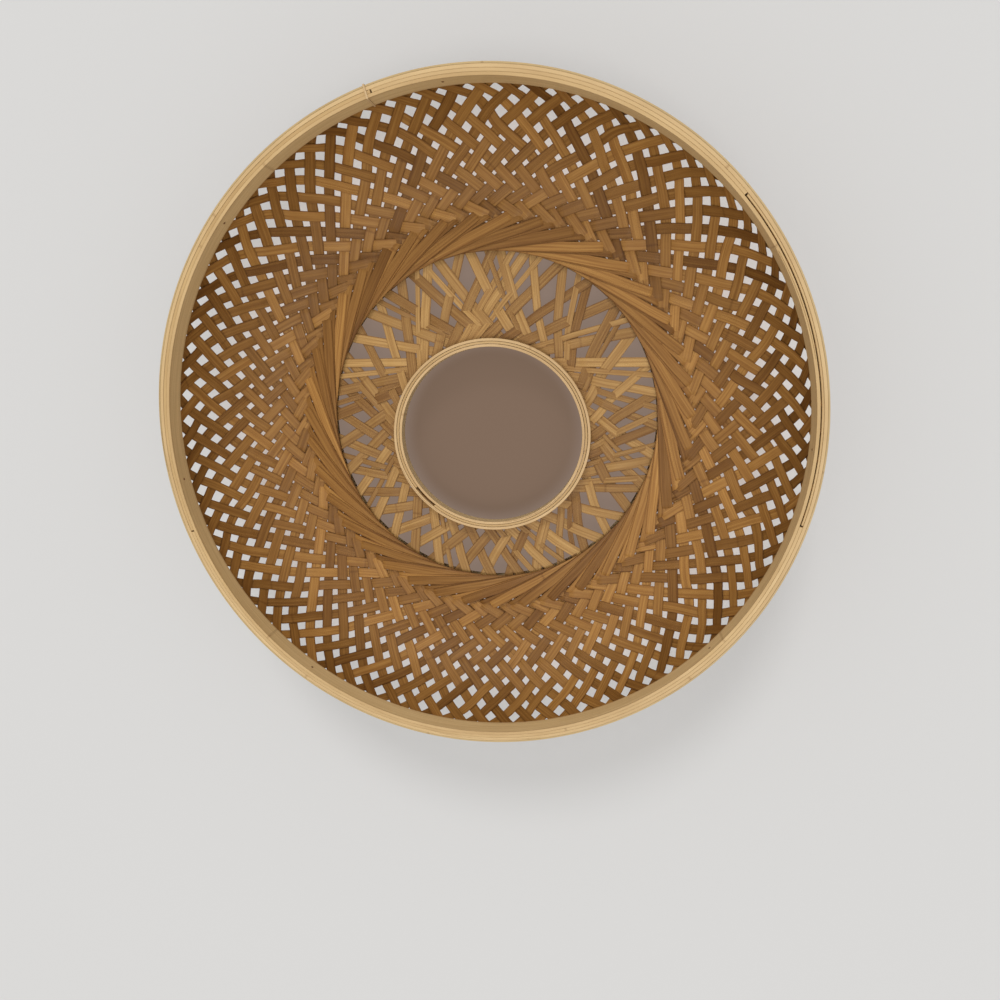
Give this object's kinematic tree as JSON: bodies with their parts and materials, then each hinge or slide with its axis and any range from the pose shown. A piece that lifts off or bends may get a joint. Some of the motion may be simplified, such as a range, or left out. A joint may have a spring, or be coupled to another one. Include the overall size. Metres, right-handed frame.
{
  "type": "bamboo serving basket",
  "caption": "Plaited bamboo serving basket: a wide shallow bowl with a hooped rim, over a plaited base with a hoop-bound hole, on a low hooped foot.",
  "frame": {"origin": "on the surface that the basket stands on, under the centre of the rim", "axes": "+Z up out of the bowl's mouth; +Y is up in the picture and +X is to the right in it"},
  "size_m": [0.3718, 0.3714, 0.0868],
  "materials": {
    "bowl_strip": "split bamboo, satin",
    "foot_strip": "split bamboo, satin",
    "hoop": "shaved bamboo, smooth",
    "ring_hoop": "shaved bamboo, smooth",
    "green_skin": "bamboo skin, satin",
    "tie": "cane, satin",
    "peg": "bamboo, matt"
  },
  "bodies": {
    "root": {"bowl_weave": "bowl_strip", "foot_weave": "foot_strip", "rim_inner_hoop": "hoop", "rim_outer_hoop": "hoop", "rim_skin_splint": "green_skin", "rim_cap_splint_upper": "hoop", "rim_cap_splint_lower": "hoop", "rim_tie": "tie", "foot_top_inner_hoop": "hoop", "foot_top_outer_hoop": "hoop", "ring_inner_hoop": "ring_hoop", "ring_outer_hoop": "ring_hoop", "rim_peg_1": "peg", "rim_peg_2": "peg", "rim_peg_3": "peg", "rim_peg_4": "peg", "rim_peg_5": "peg", "rim_peg_6": "peg"}
  },
  "joints": []
}
